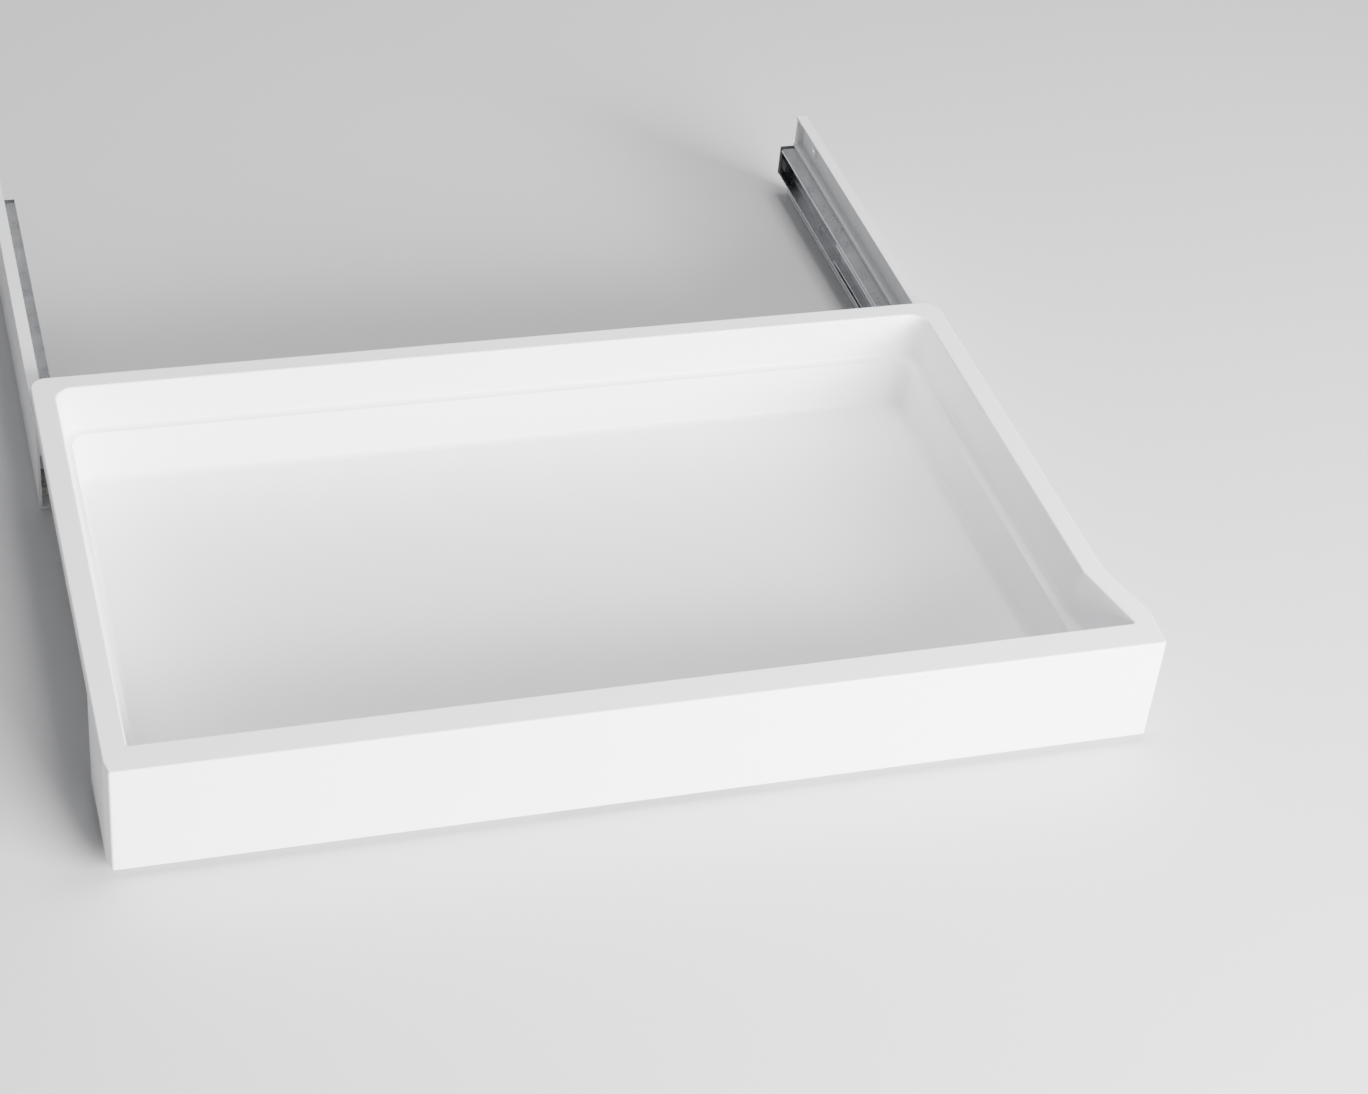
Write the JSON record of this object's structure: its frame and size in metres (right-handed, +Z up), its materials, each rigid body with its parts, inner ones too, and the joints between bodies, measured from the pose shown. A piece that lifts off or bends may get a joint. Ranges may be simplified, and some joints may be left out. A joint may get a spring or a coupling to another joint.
{
  "type": "fridge bin",
  "caption": "Full-width pull-out refrigerator bin on a pair of telescopic slides, with synchronising shaft, racks, and release catches.",
  "frame": {"origin": "middle of the whole assembly's box in X and Y, pulled out, at the level of its lowest point", "axes": "+X to the user's right, +Y into the refrigerator (the way the bin closes), +Z up"},
  "size_m": [0.7199, 0.746, 0.089],
  "materials": {
    "white_moulding": "satin moulded",
    "white_housing": "satin moulded",
    "zinc_sheet": "zinc plated",
    "zinc_screw": "zinc plated",
    "ground_steel": "ground",
    "ball_steel": "polished",
    "cage_plastic": "moulded",
    "acetal": "natural",
    "catch_plastic": "moulded grey",
    "grey_rubber": "matt"
  },
  "bodies": {
    "cabinet_rails": {"rail_housing_left": "white_housing", "rail_housing_right": "white_housing", "outer_member_left": "zinc_sheet", "outer_member_right": "zinc_sheet", "gear_rack_left": "acetal", "gear_rack_right": "acetal", "closing_stop_left": "grey_rubber", "closing_stop_right": "grey_rubber", "rail_screws": "zinc_screw"},
    "bin": {"bin_tub": "white_moulding", "front_cover": "white_moulding", "cover_screws": "zinc_screw", "front_buffers": "grey_rubber", "support_bracket_left": "zinc_sheet", "support_bracket_right": "zinc_sheet", "drawer_member_left": "zinc_sheet", "drawer_member_right": "zinc_sheet", "bracket_rivets": "zinc_screw", "shaft_bearing_left": "acetal", "shaft_bearing_right": "acetal", "bearing_screws": "zinc_screw", "catch_pins": "zinc_screw"},
    "sync_shaft": {"sync_shaft": "ground_steel", "pinion_left": "acetal", "pinion_right": "acetal"},
    "middle_left": {"middle_member_left": "zinc_sheet"},
    "cage_outer_left": {"outer_cage_left": "cage_plastic", "outer_balls_left": "ball_steel"},
    "cage_inner_left": {"inner_cage_left": "cage_plastic", "inner_balls_left": "ball_steel"},
    "catch_left": {"catch_left": "catch_plastic"},
    "middle_right": {"middle_member_right": "zinc_sheet"},
    "cage_outer_right": {"outer_cage_right": "cage_plastic", "outer_balls_right": "ball_steel"},
    "cage_inner_right": {"inner_cage_right": "cage_plastic", "inner_balls_right": "ball_steel"},
    "catch_right": {"catch_right": "catch_plastic"}
  },
  "joints": [
    {"name": "bin_slide", "type": "slide", "parent": "cabinet_rails", "child": "bin", "axis": [0, 1, 0], "range_m": [0, 0.3]},
    {"name": "shaft_turn", "type": "hinge", "parent": "bin", "child": "sync_shaft", "pos_m": [-0.0085, 0.05, 0.0175], "axis": [-1, 0, 0], "range_deg": [0, 1720]},
    {"name": "middle_slide_left", "type": "slide", "parent": "cabinet_rails", "child": "middle_left", "axis": [0, 1, 0], "range_m": [0, 0.15]},
    {"name": "outer_cage_roll_left", "type": "slide", "parent": "cabinet_rails", "child": "cage_outer_left", "axis": [0, 1, 0], "range_m": [0, 0.075]},
    {"name": "inner_cage_roll_left", "type": "slide", "parent": "middle_left", "child": "cage_inner_left", "axis": [0, 1, 0], "range_m": [0, 0.075]},
    {"name": "catch_turn_left", "type": "hinge", "parent": "bin", "child": "catch_left", "pos_m": [-0.3415, -0.323, 0.027], "axis": [0, 0, 1], "range_deg": [0, 12], "stiffness_Nm_per_rad": 0.06, "springref_deg": -8.59},
    {"name": "middle_slide_right", "type": "slide", "parent": "cabinet_rails", "child": "middle_right", "axis": [0, 1, 0], "range_m": [0, 0.15]},
    {"name": "outer_cage_roll_right", "type": "slide", "parent": "cabinet_rails", "child": "cage_outer_right", "axis": [0, 1, 0], "range_m": [0, 0.075]},
    {"name": "inner_cage_roll_right", "type": "slide", "parent": "middle_right", "child": "cage_inner_right", "axis": [0, 1, 0], "range_m": [0, 0.075]},
    {"name": "catch_turn_right", "type": "hinge", "parent": "bin", "child": "catch_right", "pos_m": [0.3245, -0.323, 0.027], "axis": [0, 0, -1], "range_deg": [0, 12], "stiffness_Nm_per_rad": 0.06, "springref_deg": -8.59}
  ],
  "couplings": [
    {"joint": "shaft_turn", "follows": "bin_slide", "rad_per_m": 100},
    {"joint": "middle_slide_left", "follows": "bin_slide", "ratio": 0.5},
    {"joint": "outer_cage_roll_left", "follows": "bin_slide", "ratio": 0.25},
    {"joint": "inner_cage_roll_left", "follows": "bin_slide", "ratio": 0.25},
    {"joint": "middle_slide_right", "follows": "bin_slide", "ratio": 0.5},
    {"joint": "outer_cage_roll_right", "follows": "bin_slide", "ratio": 0.25},
    {"joint": "inner_cage_roll_right", "follows": "bin_slide", "ratio": 0.25}
  ]
}
